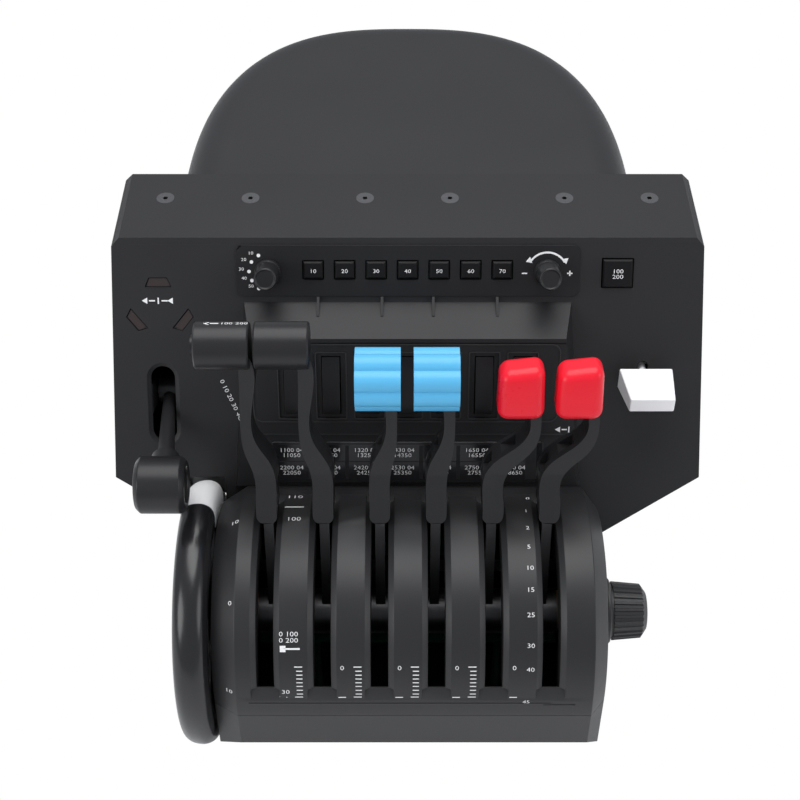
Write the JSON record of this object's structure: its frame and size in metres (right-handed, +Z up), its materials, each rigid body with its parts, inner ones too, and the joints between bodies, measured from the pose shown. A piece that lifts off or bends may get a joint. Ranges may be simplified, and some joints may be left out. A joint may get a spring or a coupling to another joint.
{
  "type": "throttle quadrant",
  "caption": "Desk flight control quadrant: slotted half-round lever housing, hinged levers, trim wheel, gear and flap levers, rocker switches and a leaning instrument panel",
  "frame": {"origin": "centre of the footprint on the desk", "axes": "+X to the pilot's right along the lever shaft, +Y away from the pilot, +Z up"},
  "size_m": [0.316, 0.413, 0.2495],
  "materials": {
    "blue": "sky blue, satin gloss",
    "board": "green board",
    "fibre": "pressed fibre",
    "gloss": "gloss black",
    "housing": "fine textured black moulding",
    "lamp": "unlit tinted lens",
    "lens": "smoked acrylic",
    "red": "red, gloss",
    "rubber": "matt",
    "satin": "satin black moulding",
    "steel": "brushed",
    "white": "white, satin"
  },
  "bodies": {
    "base": {"base_pan": "housing", "quadrant_cover": "housing", "panel_housing": "housing", "panel_top_cover": "housing", "housing_screws": "steel", "rear_shell": "housing", "usb_socket": "steel", "rubber_feet": "rubber", "pivot_shaft": "steel", "lever_frame": "steel", "friction_washers": "fibre", "hub_spacers": "steel", "disc_springs": "steel", "lever_sensors": "board", "circuit_boards": "board", "switch_console": "housing", "annunciator_lens": "lens", "autopilot_bezel": "housing", "gear_light_lenses": "lamp", "lever_brackets": "steel"},
    "throttle_1": {"throttle_1_blade": "steel", "throttle_1_handle": "satin"},
    "throttle_2": {"throttle_2_blade": "steel", "throttle_2_handle": "satin"},
    "propeller_1": {"propeller_1_blade": "steel", "propeller_1_handle": "satin", "propeller_1_grip": "blue"},
    "propeller_2": {"propeller_2_blade": "steel", "propeller_2_handle": "satin", "propeller_2_grip": "blue"},
    "mixture_1": {"mixture_1_blade": "steel", "mixture_1_handle": "satin", "mixture_1_grip": "red"},
    "mixture_2": {"mixture_2_blade": "steel", "mixture_2_handle": "satin", "mixture_2_grip": "red"},
    "go_around": {"go_around_button": "satin"},
    "trim": {"trim_wheel": "gloss", "trim_wheel_mark": "white"},
    "tension": {"tension_knob": "satin"},
    "gear": {"gear_lever": "satin", "gear_knob": "satin"},
    "flap": {"flap_lever": "white"},
    "rocker_1": {"rocker_switch_1": "satin"},
    "rocker_2": {"rocker_switch_2": "satin"},
    "rocker_3": {"rocker_switch_3": "satin"},
    "rocker_4": {"rocker_switch_4": "satin"},
    "rocker_5": {"rocker_switch_5": "satin"},
    "rocker_6": {"rocker_switch_6": "satin"},
    "rocker_7": {"rocker_switch_7": "satin"},
    "mode_1": {"mode_button_1": "satin"},
    "mode_2": {"mode_button_2": "satin"},
    "mode_3": {"mode_button_3": "satin"},
    "mode_4": {"mode_button_4": "satin"},
    "mode_5": {"mode_button_5": "satin"},
    "mode_6": {"mode_button_6": "satin"},
    "mode_7": {"mode_button_7": "satin"},
    "master": {"master_button": "satin"},
    "selector": {"selector_knob": "satin"},
    "adjust": {"adjust_knob": "satin"}
  },
  "joints": [
    {"name": "throttle_1_swing", "type": "hinge", "parent": "base", "child": "throttle_1", "pos_m": [0, -0.1365, 0.075], "axis": [1, 0, 0], "range_deg": [0, 76]},
    {"name": "throttle_2_swing", "type": "hinge", "parent": "base", "child": "throttle_2", "pos_m": [0, -0.1365, 0.075], "axis": [1, 0, 0], "range_deg": [0, 76]},
    {"name": "propeller_1_swing", "type": "hinge", "parent": "base", "child": "propeller_1", "pos_m": [0, -0.1365, 0.075], "axis": [1, 0, 0], "range_deg": [0, 76]},
    {"name": "propeller_2_swing", "type": "hinge", "parent": "base", "child": "propeller_2", "pos_m": [0, -0.1365, 0.075], "axis": [1, 0, 0], "range_deg": [0, 76]},
    {"name": "mixture_1_swing", "type": "hinge", "parent": "base", "child": "mixture_1", "pos_m": [0, -0.1365, 0.075], "axis": [1, 0, 0], "range_deg": [0, 76]},
    {"name": "mixture_2_swing", "type": "hinge", "parent": "base", "child": "mixture_2", "pos_m": [0, -0.1365, 0.075], "axis": [1, 0, 0], "range_deg": [0, 76]},
    {"name": "go_around_press", "type": "slide", "parent": "throttle_1", "child": "go_around", "axis": [1, 0, 0], "range_m": [0, 0.0012], "stiffness_N_per_m": 800, "springref_m": -0.0008},
    {"name": "trim_turn", "type": "hinge", "parent": "base", "child": "trim", "pos_m": [0, -0.1365, 0.075], "axis": [1, 0, 0], "continuous": true},
    {"name": "tension_turn", "type": "hinge", "parent": "base", "child": "tension", "pos_m": [0, -0.1365, 0.075], "axis": [1, 0, 0], "range_deg": [-180, 180]},
    {"name": "gear_swing", "type": "hinge", "parent": "base", "child": "gear", "pos_m": [-0.1302, -0.0436, 0.15122], "axis": [-1, 0, 0], "range_deg": [0, 46]},
    {"name": "flap_swing", "type": "hinge", "parent": "base", "child": "flap", "pos_m": [0.1249, -0.04048, 0.17414], "axis": [-1, 0, 0], "range_deg": [-12, 12], "stiffness_Nm_per_rad": 0.4},
    {"name": "rocker_1_tip", "type": "hinge", "parent": "base", "child": "rocker_1", "pos_m": [-0.06, -0.06637, 0.17645], "axis": [1, 0, 0], "range_deg": [-12, 0]},
    {"name": "rocker_2_tip", "type": "hinge", "parent": "base", "child": "rocker_2", "pos_m": [-0.04, -0.06637, 0.17645], "axis": [1, 0, 0], "range_deg": [-12, 0]},
    {"name": "rocker_3_tip", "type": "hinge", "parent": "base", "child": "rocker_3", "pos_m": [-0.02, -0.06637, 0.17645], "axis": [1, 0, 0], "range_deg": [-12, 0]},
    {"name": "rocker_4_tip", "type": "hinge", "parent": "base", "child": "rocker_4", "pos_m": [0, -0.06637, 0.17645], "axis": [1, 0, 0], "range_deg": [-12, 0]},
    {"name": "rocker_5_tip", "type": "hinge", "parent": "base", "child": "rocker_5", "pos_m": [0.02, -0.06637, 0.17645], "axis": [1, 0, 0], "range_deg": [-12, 0]},
    {"name": "rocker_6_tip", "type": "hinge", "parent": "base", "child": "rocker_6", "pos_m": [0.04, -0.06637, 0.17645], "axis": [1, 0, 0], "range_deg": [-12, 0]},
    {"name": "rocker_7_tip", "type": "hinge", "parent": "base", "child": "rocker_7", "pos_m": [0.06, -0.06637, 0.17645], "axis": [1, 0, 0], "range_deg": [-12, 0]},
    {"name": "mode_1_press", "type": "slide", "parent": "base", "child": "mode_1", "axis": [0, 0.8829, -0.4695], "range_m": [0, 0.001], "stiffness_N_per_m": 800, "springref_m": -0.0008},
    {"name": "mode_2_press", "type": "slide", "parent": "base", "child": "mode_2", "axis": [0, 0.8829, -0.4695], "range_m": [0, 0.001], "stiffness_N_per_m": 800, "springref_m": -0.0008},
    {"name": "mode_3_press", "type": "slide", "parent": "base", "child": "mode_3", "axis": [0, 0.8829, -0.4695], "range_m": [0, 0.001], "stiffness_N_per_m": 800, "springref_m": -0.0008},
    {"name": "mode_4_press", "type": "slide", "parent": "base", "child": "mode_4", "axis": [0, 0.8829, -0.4695], "range_m": [0, 0.001], "stiffness_N_per_m": 800, "springref_m": -0.0008},
    {"name": "mode_5_press", "type": "slide", "parent": "base", "child": "mode_5", "axis": [0, 0.8829, -0.4695], "range_m": [0, 0.001], "stiffness_N_per_m": 800, "springref_m": -0.0008},
    {"name": "mode_6_press", "type": "slide", "parent": "base", "child": "mode_6", "axis": [0, 0.8829, -0.4695], "range_m": [0, 0.001], "stiffness_N_per_m": 800, "springref_m": -0.0008},
    {"name": "mode_7_press", "type": "slide", "parent": "base", "child": "mode_7", "axis": [0, 0.8829, -0.4695], "range_m": [0, 0.001], "stiffness_N_per_m": 800, "springref_m": -0.0008},
    {"name": "master_press", "type": "slide", "parent": "base", "child": "master", "axis": [0, 0.8829, -0.4695], "range_m": [0, 0.001], "stiffness_N_per_m": 800, "springref_m": -0.0008},
    {"name": "selector_turn", "type": "hinge", "parent": "base", "child": "selector", "pos_m": [-0.0726, -0.03035, 0.22301], "axis": [0, -0.8829, 0.4695], "range_deg": [-60, 60]},
    {"name": "adjust_turn", "type": "hinge", "parent": "base", "child": "adjust", "pos_m": [0.0726, -0.03035, 0.22301], "axis": [0, -0.8829, 0.4695], "continuous": true}
  ]
}
